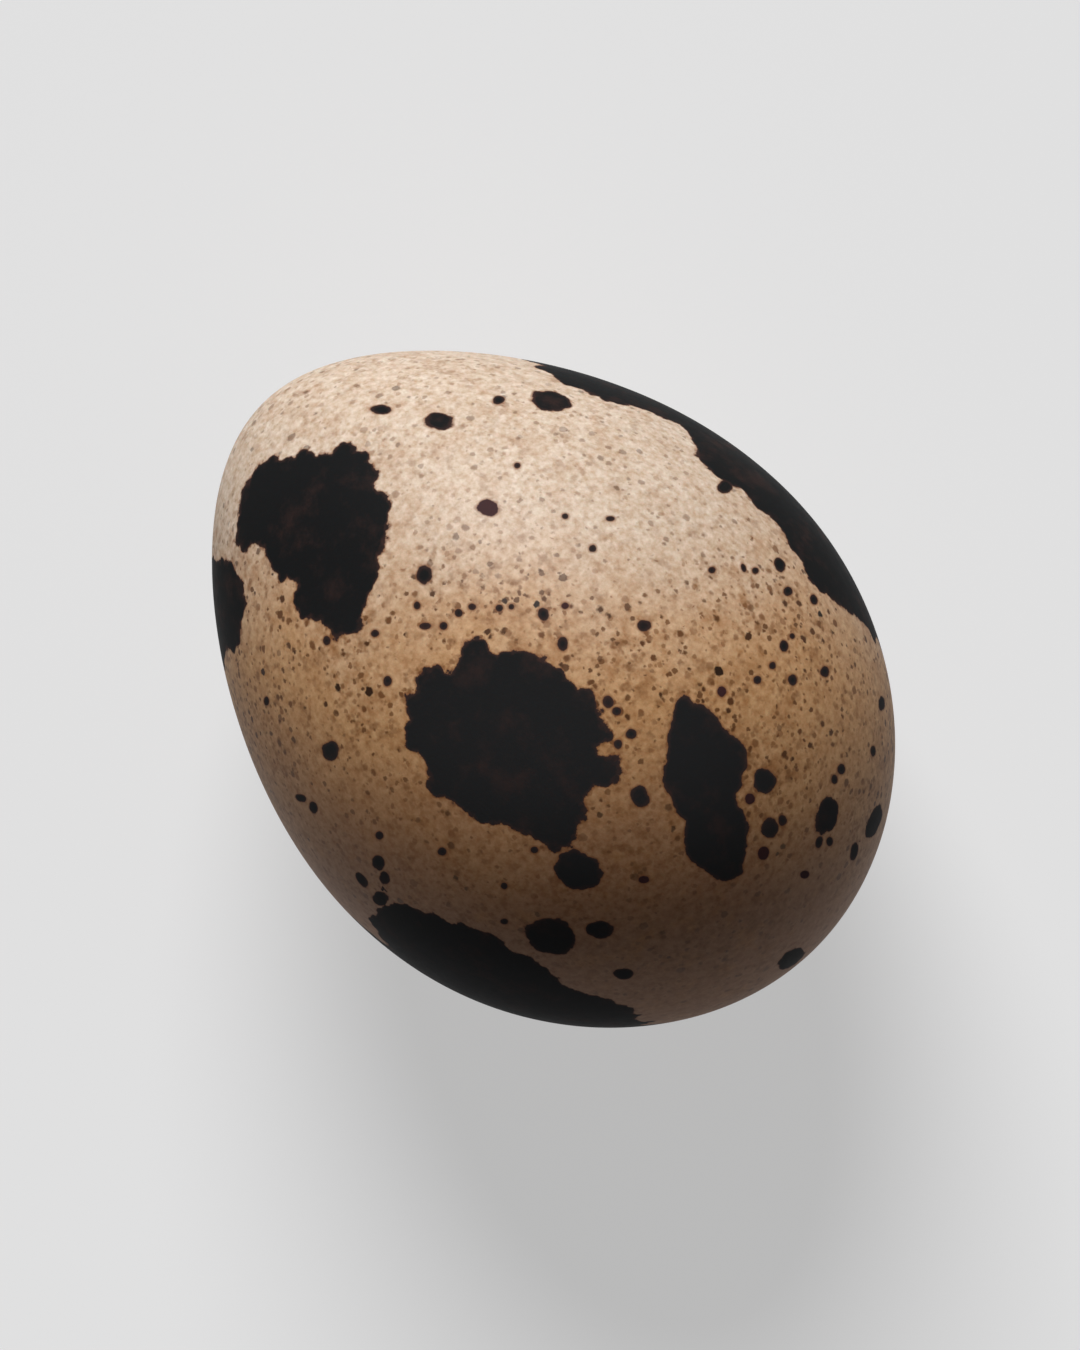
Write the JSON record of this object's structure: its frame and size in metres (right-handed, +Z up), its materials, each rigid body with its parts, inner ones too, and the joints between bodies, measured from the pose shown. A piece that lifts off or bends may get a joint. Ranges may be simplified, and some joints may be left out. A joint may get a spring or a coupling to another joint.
{
  "type": "quail egg",
  "caption": "Whole speckled quail egg lying on its side, tapered to one end, resting on a small flat spot under its widest girth.",
  "frame": {"origin": "middle of the small flat rest spot, under the widest girth, on the surface that the egg lies on", "axes": "+X along the egg toward its pointed end, +Y across the egg, +Z up"},
  "size_m": [0.0331, 0.026, 0.0258],
  "materials": {
    "shell": "satin"
  },
  "bodies": {
    "root": {"quail_egg": "shell"}
  },
  "joints": []
}
